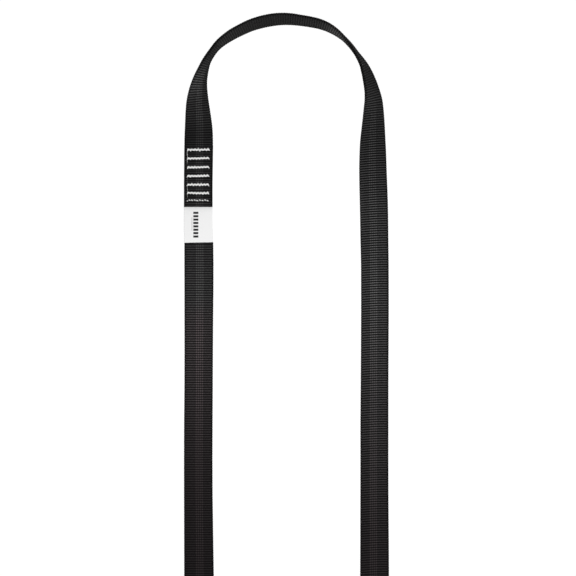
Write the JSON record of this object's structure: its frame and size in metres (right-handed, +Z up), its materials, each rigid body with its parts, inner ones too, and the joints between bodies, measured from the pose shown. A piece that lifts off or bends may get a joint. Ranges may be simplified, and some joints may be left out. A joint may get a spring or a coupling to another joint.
{
  "type": "climbing sling",
  "caption": "Sewn loop of flat tubular webbing with white bartacks and a folded label that lifts, lying open on the ground.",
  "frame": {"origin": "centre of the sling's outline on the ground that it lies on", "axes": "+Y along the two legs towards the end of the loop nearer the joint, +Z up from the ground, +X from the leg with the joint to the plain leg"},
  "size_m": [0.1816, 0.7166, 0.025],
  "materials": {
    "webbing": "matt black ribbed nylon webbing",
    "bartack_thread": "white polyester sewing thread",
    "seam_thread": "fine grey-white sewing thread",
    "label": "smooth white woven label"
  },
  "bodies": {
    "sling": {"webbing": "webbing", "label_tab": "label", "bartack_1_needle_thread": "bartack_thread", "bartack_1_bobbin_thread": "bartack_thread", "bartack_2_needle_thread": "bartack_thread", "bartack_2_bobbin_thread": "bartack_thread", "bartack_3_needle_thread": "bartack_thread", "bartack_3_bobbin_thread": "bartack_thread", "bartack_4_needle_thread": "bartack_thread", "bartack_4_bobbin_thread": "bartack_thread", "bartack_5_needle_thread": "bartack_thread", "bartack_5_bobbin_thread": "bartack_thread", "bartack_6_needle_thread": "bartack_thread", "bartack_6_bobbin_thread": "bartack_thread", "seam_needle_thread": "seam_thread", "seam_bobbin_thread": "seam_thread"},
    "label": {"label_flap": "label"}
  },
  "joints": [
    {"name": "label_lift", "type": "hinge", "parent": "sling", "child": "label", "pos_m": [-0.07855, 0.18136, 0.0042], "axis": [-1, 0, 0], "range_deg": [0, 140]}
  ]
}
